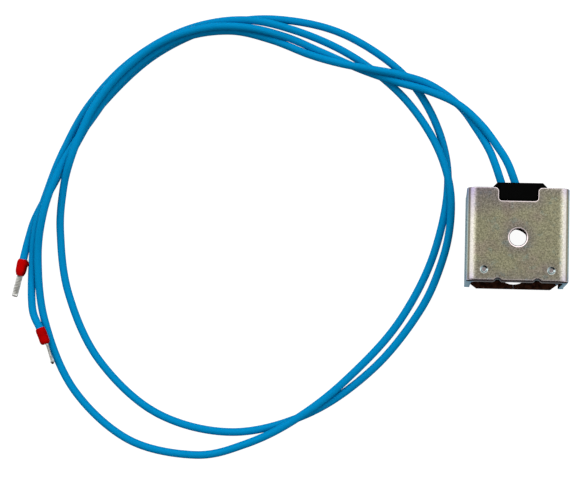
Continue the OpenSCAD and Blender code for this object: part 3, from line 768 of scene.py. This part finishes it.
def lead(number, exit_at, middle, ferrule):
    """Blue lead: a circle carried along its line, square to it, with a flat cap at both ends.

    The ring's last point repeats its first, for the seam of the map along and round the lead. The mesh
    has it once.
    """
    line, even = lead_line(exit_at, middle, ferrule)
    ahead = np.gradient(line, axis=0)
    ahead /= np.linalg.norm(ahead, axis=1)[:, None]
    level = np.cross((0.0, 0.0, 1.0), ahead)
    level /= np.linalg.norm(level, axis=1)[:, None]
    over = np.cross(ahead, level)
    columns = LEAD_SIDES + 1
    angle = np.linspace(0.0, TURN, columns)
    ring = level[:, None] * np.cos(angle)[None, :, None] + over[:, None] * np.sin(angle)[None, :, None]
    points = line[:, None] + LEAD_D / 2 * ring
    quads = grid_quads(len(line), columns, ring_columns=False)
    row, column = np.divmod(quads, columns)
    faces = row * LEAD_SIDES + column % LEAD_SIDES
    cap = np.arange(LEAD_SIDES)
    last = (len(line) - 1) * LEAD_SIDES
    name = f"lead_{number}_tube"
    mesh = bpy.data.meshes.new(name)
    mesh.from_pydata(points[:, :-1].reshape(-1, 3) * MM, [],
                     faces.tolist() + [cap[::-1].tolist(), (last + cap).tolist()])
    run = np.stack(np.broadcast_arrays(even[:, None], angle[None] * LEAD_D / 2), axis=-1)
    loops = np.concatenate([run.reshape(-1, 2)[quads.ravel()], np.zeros((2 * LEAD_SIDES, 2))])
    mesh.uv_layers.new(name="run").data.foreach_set("uv", loops.astype(np.float32).ravel())
    dress(mesh, BLUE, sharp=np.radians(50))
    piece = stand_in(name, mesh, f"lead_{number}")


def leads_and_ferrules():
    """Both leads with what is crimped on them."""
    block_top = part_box("coil_moulding")[1].y / MM
    exits = [(-LEAD_PITCH, block_top, LEAD_Z), (0.0, block_top, LEAD_Z)]
    for number, exit_at, route, ferrule in zip((1, 2), exits, (LEAD_1_ROUTE, LEAD_2_ROUTE), FERRULES):
        pieces = [collar(number, ferrule), sleeve(number, ferrule), strands(number, ferrule)]
        lead(number, exit_at, route, ferrule)


leads_and_ferrules()


# Yoke

def bore_radius(name):
    """Radius in millimetres of a bore among the record's mounts."""
    return next(m["dims"]["r_mm"] for m in frame["record"]["mounts"] if m["name"] == name)


YOKE_LOW, YOKE_HIGH = (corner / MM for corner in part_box("yoke_frame"))
FLAT_HALF = YOKE_HIGH.x - BEND_OUT
BEND_RUN = BEND_MEAN * np.pi / 2
WALL_RUN = YOKE_HIGH.z - 2 * BEND_OUT
BLANK_HALF = FLAT_HALF + 2 * BEND_RUN + WALL_RUN + FLAT_HALF - SEAM_GAP / 2
FRONT_END = FLAT_HALF + BEND_RUN
REAR_START = FRONT_END + WALL_RUN


def fold(u, y, depth):
    """Folds the flat blank into the yoke.

    u runs across the blank from the plate's middle and depth goes into the sheet. With f and s the
    angles turned in the front and rear bends, and r the bend's radius at that depth:
    x = flat + r (sin f + cos s - 1) - way back, z = height - R + r (cos f - sin s) - way down.
    """
    far = np.abs(u)
    r = BEND_OUT - depth
    front = np.clip((far - FLAT_HALF) / BEND_MEAN, 0.0, np.pi / 2)
    down = np.clip(far - FLAT_HALF - BEND_RUN, 0.0, WALL_RUN)
    rear = np.clip((far - FLAT_HALF - BEND_RUN - WALL_RUN) / BEND_MEAN, 0.0, np.pi / 2)
    back = np.clip(far - FLAT_HALF - 2 * BEND_RUN - WALL_RUN, 0.0, None)
    x = np.minimum(far, FLAT_HALF) + r * (np.sin(front) + np.cos(rear) - 1.0) - back
    z = YOKE_HIGH.z - BEND_OUT + r * (np.cos(front) - np.sin(rear)) - down
    return np.stack([np.where(u < 0, -x, x), y + 0 * x, z], axis=-1)


def round_corners(corners, arc_step=np.radians(12)):
    """Closed outline from corners (x, y, radius): each corner is cut back by radius / tan(half its
    opening) on both sides, and an arc that touches both sides joins the cuts."""
    arcs = []
    for index, (x, y, radius) in enumerate(corners):
        here = np.array([x, y])
        before = np.array(corners[index - 1][:2]) - here
        after = np.array(corners[(index + 1) % len(corners)][:2]) - here
        before /= np.linalg.norm(before)
        after /= np.linalg.norm(after)
        half = 0.5 * np.arccos(np.clip(before @ after, -1.0, 1.0))
        middle = (before + after) / np.linalg.norm(before + after)
        centre = here + middle * radius / np.sin(half)
        start = here + before * radius / np.tan(half) - centre
        end = here + after * radius / np.tan(half) - centre
        sweep = np.pi - 2 * half
        t = np.linspace(0.0, 1.0, max(4, int(np.ceil(sweep / arc_step))) + 1)[:, None]
        arcs.append(centre + (np.sin((1 - t) * sweep) * start + np.sin(t * sweep) * end) / np.sin(sweep))
    return np.concatenate(arcs)


def walk(outline, step):
    """Splits the sides of a closed outline into equal parts no longer than step."""
    side = np.roll(outline, -1, axis=0) - outline
    parts = np.maximum(1, np.ceil(np.linalg.norm(side, axis=1) / step).astype(int))
    index = np.repeat(np.arange(len(outline)), parts)
    part = np.arange(parts.sum()) - np.repeat(np.cumsum(parts) - parts, parts)
    return outline[index] + side[index] * (part / parts[index])[:, None]


def inward(outline):
    """Move of each point to the left of the way round that shifts both its sides by one."""
    side = np.roll(outline, -1, axis=0) - outline
    side /= np.linalg.norm(side, axis=1)[:, None]
    left = np.stack([-side[:, 1], side[:, 0]], axis=1)
    both = left + np.roll(left, 1, axis=0)
    return 2 * both / np.sum(both * both, axis=1)[:, None]


def circle(x, y, radius, sides):
    """Closed ring of points, clockwise, so that the sheet lies to its left."""
    angle = -whole_turn(sides)
    return np.stack([x + radius * np.cos(angle), y + radius * np.sin(angle)], axis=1)


def blank_outline():
    """Outline of the flat blank: tab reliefs at the foot, freed corners and chamfers at the rear,
    half of the slot at each end, and the notch at the top. Each corner is (u, y, radius)."""
    bore = bore_radius("armature_bore")
    slot_u = BLANK_HALF + SEAM_GAP / 2 - bore
    slot_low = -(SLOT_REACH + bore)
    slot_r = bore - SEAM_GAP / 2 - SLOT_EASE
    freed = REAR_START + BEND_MEAN * FREED_FROM
    freed_end = REAR_START + BEND_MEAN * FREED_TO
    freed_y = YOKE_LOW.y + REAR_CORNER - FREED_STEP
    chamfer = REAR_START + BEND_RUN + REAR_CORNER - BEND_IN
    mouth, root = RELIEF_MOUTH / 2, RELIEF_ROOT / 2
    half = [
        (RELIEF_AT - mouth, PLATE_FOOT, RELIEF_LIP_R),
        (RELIEF_AT - root, PLATE_FOOT + RELIEF_DEPTH, RELIEF_ROOT_R),
        (RELIEF_AT + root, PLATE_FOOT + RELIEF_DEPTH, RELIEF_ROOT_R),
        (RELIEF_AT + mouth, PLATE_FOOT, RELIEF_LIP_R),
        (FRONT_END, PLATE_FOOT, BEND_EDGE_R),
        (freed, PLATE_FOOT - FOOT_FALL, FREED_LIP_R),
        (freed, freed_y, FREED_ROOT_R),
        (freed_end, freed_y, FREED_END_R),
        (chamfer, YOKE_LOW.y, CHAMFER_R),
        (BLANK_HALF, YOKE_LOW.y, SMALL_R),
        (BLANK_HALF, slot_low, SMALL_R),
        (slot_u, slot_low, slot_r),
        (slot_u, bore, slot_r),
        (BLANK_HALF, bore, SMALL_R),
        (BLANK_HALF, YOKE_HIGH.y - REAR_FALL, SMALL_R),
        (REAR_START, YOKE_HIGH.y - REAR_FALL, BEND_EDGE_R),
        (FRONT_END, YOKE_HIGH.y, BEND_EDGE_R),
        (NOTCH_W / 2, YOKE_HIGH.y, NOTCH_LIP_R),
        (NOTCH_W / 2, YOKE_HIGH.y - NOTCH_DEPTH, NOTCH_ROOT_R),
    ]
    other = [(-u, y, radius) for u, y, radius in reversed(half)]
    return walk(round_corners(half + other), OUTLINE_STEP)


def crosses(points, outline):
    """Whether each point lies inside a closed outline, by counting the sides to its right."""
    x, y = points[:, 0:1], points[:, 1:2]
    ax, ay = outline[:, 0][None], outline[:, 1][None]
    bx, by = np.roll(ax, -1, axis=1), np.roll(ay, -1, axis=1)
    spans = (ay > y) != (by > y)
    rise = np.where(by == ay, 1.0, by - ay)
    return (spans & (x < (bx - ax) * (y - ay) / rise + ax)).sum(axis=1) % 2 == 1


def nearest(points, others):
    """Distance from each point to the nearest of the others."""
    gap = points[:, None] - others[None]
    return np.sqrt(np.min(np.sum(gap * gap, axis=2), axis=1))


def field_points():
    """Points of the sheet's faces: a grid, closer across the bends so that they stay round."""
    ends = (0.0, FLAT_HALF, FRONT_END, REAR_START, REAR_START + BEND_RUN, BLANK_HALF)
    stations = np.concatenate([np.linspace(*span) for span in zip(ends, ends[1:], FIELD_COUNTS)])
    stations = np.unique(np.round(np.concatenate([-stations, stations]), 6))
    rows = np.linspace(YOKE_LOW.y, YOKE_HIGH.y, FIELD_ROWS)
    u, y = np.meshgrid(stations, rows, indexing="ij")
    return np.stack([u.ravel(), y.ravel()], axis=1)


def in_sheet(points, outline, holes):
    """Whether each point lies inside the outline and in none of the holes."""
    inside = crosses(points, outline)
    for hole in holes:
        inside &= ~crosses(points, hole)
    return inside


def sheet_faces(rings, outline, holes):
    """Triangles that fill the blank between its rings: the fullest triangles through rings and field
    points, less those whose middle is outside the outline or in a hole."""
    ring_points = np.concatenate(rings)
    field = field_points()
    field = field[in_sheet(field, outline, holes)]
    field = field[nearest(field, ring_points) > FIELD_GAP]
    points = np.concatenate([ring_points, field])
    starts = np.cumsum([0] + [len(ring) for ring in rings])
    edges = []
    for first, ring in zip(starts, rings):
        here = np.arange(len(ring))
        edges.append(np.stack([first + here, first + (here + 1) % len(ring)], axis=1))
    corners = [Vector(point) for point in points]
    made = delaunay_2d_cdt(corners, np.concatenate(edges).tolist(), [], 0, FIELD_MERGE)
    filled, came_from = made[2:4]
    sources = np.array([source[0] for source in came_from])
    faces = sources[np.array(filled)]
    return points, faces[in_sheet(points[faces].mean(axis=1), outline, holes)]


def rim_rows(inset, roll, lean):
    """Inset and depth of the sheet's cut edge: a rolled front edge, a cut that leans outwards by lean,
    and a broken rear edge.

    Both ends are quarter ellipses, from the face to the cut and from the cut to the other face.
    """
    angle = np.linspace(0.0, np.pi / 2, EDGE_COUNT)
    front = np.stack([lean + (inset - lean) * (1 - np.sin(angle)), roll * (1 - np.cos(angle))], axis=1)
    rear = np.stack([inset * (1 - np.cos(angle)), SHEET - EDGE_BREAK * (1 - np.sin(angle))], axis=1)
    return np.concatenate([front, rear])


def roll_share(outline):
    """Share of the rolled edge at each point: more along the plate's foot, less on the rear flanges."""
    far = np.abs(outline[:, 0])
    foot = ease(outline[:, 1], PLATE_FOOT + FOOT_REACH, PLATE_FOOT)
    foot = foot * ease(far, FLAT_HALF + 2 * BEND_RUN, FLAT_HALF)
    rear = ease(far, REAR_START - REAR_ROLL_RUN, REAR_START)
    return (1.0 - (1.0 - REAR_ROLL) * rear) * (1.0 + (FOOT_ROLL - 1.0) * foot)


def painted_shade_rows(outline, rows):
    """Painted shade on each point of the sheet's cut edge: the inner side, the steep part of the foot's
    roll and the rear flanges' cut are painted dark, and the seam is half dark."""
    far = np.abs(outline[:, 0])
    flange = far > FLAT_HALF + FLANGE_BENDS * BEND_RUN + WALL_RUN
    foot = (outline[:, 1] < PLATE_FOOT + RELIEF_DEPTH + FOOT_SHADE_PAST) & (far < FRONT_END)
    depth = rows[:, 1:2]
    steep = (depth > STEEP_FROM * EDGE_ROLL) & (depth < EDGE_ROLL + HAIR)
    dark = (depth > SHEET - INNER_BAND) | (flange & (depth > EDGE_ROLL - HAIR)) | (foot & steep)
    return np.where(far < BLANK_HALF - HAIR, dark, SEAM_DARK)


def dimple(x, y, profile):
    """One face of a half shear: a profile of (radius, depth) turned about its own middle."""
    ring = circle(0.0, 0.0, 1.0, SHEAR_SIDES)
    flat = profile[:, None, 0:1] * ring[None]
    points = fold(x + flat[..., 0], y + flat[..., 1], profile[:, None, 1])
    return points.reshape(-1, 3), triangles(grid_quads(len(profile), SHEAR_SIDES))


def rim(ring, rows, share, wear):
    """Band of the sheet's cut edge round a ring: its points, faces, insets and wear.

    Each row moves the ring into the sheet by its inset times the share, and lies at its depth, on the
    front half times the share too. The rolled part is worn.
    """
    depth = rows[:, 1:2]
    inset = rows[:, 0:1] * share
    moved = ring[None] + inset[..., None] * inward(ring)[None]
    front = depth < SHEET / 2
    band = fold(moved[..., 0], moved[..., 1], np.where(front, depth * share, depth))
    worn = ((rows[:, 0:1] < rows[0, 0] - HAIR) & front) * (wear + 0 * ring[:, 0])
    return band.reshape(-1, 3), triangles(grid_quads(len(rows), len(ring))), inset.ravel(), worn.ravel()


def yoke():
    """Folded yoke: two faces, rolled edges, and half shears, worked out flat and then folded.

    Each part is points, faces, and per point the way from a cut edge and the shares of the painted shade
    (a near black brown on the inner side and in shaded edges), of the worn rolls and of the burnished
    half shears.
    """
    outline = blank_outline()
    hole = circle(0.0, 0.0, bore_radius("front_stud_hole"), HOLE_SIDES)
    sides = (-SHEAR_AT[0], SHEAR_AT[0])
    shears = [circle(x, SHEAR_AT[1], SHEAR_FIELD_R, SHEAR_SIDES) for x in sides]
    share = roll_share(outline)
    inset = outline + EDGE_INSET * share[:, None] * inward(outline)
    hole_inset = hole + HOLE_INSET * inward(hole)
    points, faces = sheet_faces([inset, hole_inset] + shears, inset, [hole_inset] + shears)
    gap = np.minimum(nearest(points, np.concatenate([outline, hole])),
                     nearest(points, np.concatenate(shears)) + SHEAR_EDGE_GAP)
    none = np.zeros(len(points))
    # The inner face is painted shade all over
    parts = [(fold(points[:, 0], points[:, 1], 0.0), faces, gap, none, none, none),
             (fold(points[:, 0], points[:, 1], SHEET), faces[:, ::-1], gap, none + 1.0, none, none)]
    edge_rows = rim_rows(EDGE_INSET, EDGE_ROLL, EDGE_LEAN)
    hole_rows = rim_rows(HOLE_INSET, HOLE_ROLL, 0.0)
    notch = (np.abs(outline[:, 0]) < NOTCH_W / 2 + NOTCH_WEAR_PAST) & (outline[:, 1] > 0.0)
    # Painted shade on the cut edges and on the upper part of the hole's wall
    edge_shade = painted_shade_rows(outline, edge_rows)
    hole_shade = (hole_rows[:, 1:2] > HOLE_ROLL - HAIR) & (hole[:, 1] > HOLE_SHADE_Y)
    rims = [(rim(outline, edge_rows, share, EDGE_WEAR + NOTCH_WEAR * notch), edge_shade),
            (rim(hole, hole_rows, np.ones(len(hole)), 1.0), hole_shade)]
    for (band, band_faces, way_in, worn), dark in rims:
        parts.append((band, band_faces, way_in, dark.ravel().astype(float), worn, 0 * worn))
    for x in sides:
        # The raised rear face of each half shear is painted shade
        for profile, inner in ((np.array(SHEAR_FRONT), 0.0), (np.array(SHEAR_REAR), 1.0)):
            cup, cup_faces = dimple(x, SHEAR_AT[1], profile)
            radius = np.repeat(profile[:, 0], SHEAR_SIDES)
            struck = ((radius > STRUCK_FROM) & (radius < STRUCK_TO)).astype(float)
            parts.append((cup, cup_faces, radius, inner + 0 * radius, 0 * radius, struck))
    skins, skin_faces, *numbers = zip(*parts)
    starts = np.cumsum([0] + [len(skin) for skin in skins])
    all_faces = np.concatenate([corners + first for corners, first in zip(skin_faces, starts)])
    names = ("edge", "inner", "worn", "struck")
    values = {name: np.concatenate(number) for name, number in zip(names, numbers)}
    make_piece("yoke_shell", np.concatenate(skins), all_faces, "yoke_frame", STEEL,
               sharp=np.radians(40), values=values)


yoke()


# Moulding

def coil_skin():
    """Black moulding: a copy of the node's own faces joined up, with every edge rounded a little."""
    mesh = frame["nodes"]["coil_moulding"].data.copy()
    solid = bmesh.new()
    solid.from_mesh(mesh)
    bmesh.ops.remove_doubles(solid, verts=solid.verts, dist=MOULDING_GAP * MM)
    bmesh.ops.dissolve_limit(solid, angle_limit=MOULDING_TURN, verts=solid.verts, edges=solid.edges)
    bmesh.ops.recalc_face_normals(solid, faces=solid.faces)
    solid.to_mesh(mesh)
    solid.free()
    dress(mesh, BLACK, sharp=np.radians(30))
    piece = stand_in("coil_skin", mesh, "coil_moulding")
    bevel = piece.modifiers.new("rounded_edges", "BEVEL")
    bevel.width = MOULDING_ROUND * MM
    bevel.segments = 3
    bevel.limit_method = "ANGLE"
    bevel.angle_limit = np.radians(40)


coil_skin()


# Pieces that keep their own solids

def dress_nodes():
    """Gives every solid that stays its finish."""
    finishes = {
        "bobbin": FORMER, "winding": ENAMEL, "winding_tape": FILM, "start_wire": ENAMEL,
        "finish_wire": ENAMEL, "start_terminal": BRASS, "finish_terminal": BRASS,
        "tail_core_1": COPPER, "tail_core_2": COPPER, "lead_tail_1": BLUE, "lead_tail_2": BLUE,
    }
    for name, material in finishes.items():
        slots = frame["nodes"][name].data.materials
        slots.clear()
        slots.append(material)


dress_nodes()


# Floor and light

def white_floor():
    """Pale floor: a grey matt sheet that light falls on, lifted to white for what looks at it."""
    material, tree, shader = start_material("white_floor", Roughness=0.9, Specular_IOR_Level=0.0)
    shader.inputs["Base Color"].default_value = rgb(FLOOR_GREY, FLOOR_GREY, FLOOR_GREY)
    shader.inputs["Emission Color"].default_value = rgb(1.0, 1.0, 1.0)
    ray = add(tree, "ShaderNodeLightPath")
    seen = ray.outputs["Is Camera Ray"]
    for kind in ("Is Glossy Ray", "Is Transmission Ray"):
        seen = reckon(tree, "MAXIMUM", seen, ray.outputs[kind])
    lift = reckon(tree, "MULTIPLY", seen, FLOOR_WHITE)
    tree.links.new(lift, shader.inputs["Emission Strength"])
    mesh = bpy.data.meshes.new("floor")
    ways = ((-1, -1), (1, -1), (1, 1), (-1, 1))
    corners = [(x * FLOOR_REACH, y * FLOOR_REACH, FLOOR_LEVEL) for x, y in ways]
    mesh.from_pydata(corners, [], [(0, 1, 2, 3)])
    mesh.materials.append(material)
    floor = bpy.data.objects.new("floor", mesh)
    bpy.context.collection.objects.link(floor)


def tent_light():
    """Light tent: a soft dome, brighter at the back, dark at the front left, with a dim and slightly
    warm opening overhead for the camera.

    The strength in a direction (x, y, z) goes smoothly from the opening's to the dome's with the
    distance of (x, y) from the opening, times a rise with y, times falls low at the back, towards
    the dark side, to the right and close to the horizon.
    """
    world = bpy.data.worlds.new("tent")
    bpy.context.scene.world = world
    world.use_nodes = True
    tree = world.node_tree
    direction = add(tree, "ShaderNodeTexCoord").outputs["Generated"]
    x, y, z = add(tree, "ShaderNodeSeparateXYZ", {"Vector": direction}).outputs
    aside = reckon_vectors(tree, "SUBTRACT", direction, OPENING_AT)
    flat = reckon_vectors(tree, "MULTIPLY", aside, OPENING_STRETCH)
    away = reckon_vectors(tree, "LENGTH", flat, output="Value")
    strength = spread(tree, away, *OPENING_EDGE, OPENING, DOME)
    dark = reckon_vectors(tree, "DOT_PRODUCT", direction, DARK_SIDE, output="Value")
    low, back = spread(tree, z, *LOW_BAND), spread(tree, y, *LOW_BACK_FALL)
    low_back = reckon(tree, "MULTIPLY_ADD", low, back, 1.0)
    for factor in (spread(tree, y, *BACK_RISE), low_back, spread(tree, dark, *DARK_FALL),
                   spread(tree, x, *RIGHT_FALL), spread(tree, z, *HORIZON_FALL)):
        strength = reckon(tree, "MULTIPLY", strength, factor)
    tint = mix(tree, spread(tree, away, *OPENING_TINT_EDGE), rgb(*OPENING_TONE), rgb(1.0, 1.0, 1.0))
    background = tree.nodes["Background"]
    tree.links.new(tint, background.inputs["Color"])
    tree.links.new(strength, background.inputs["Strength"])


white_floor()
tent_light()
bpy.context.scene.view_settings.view_transform = "Standard"
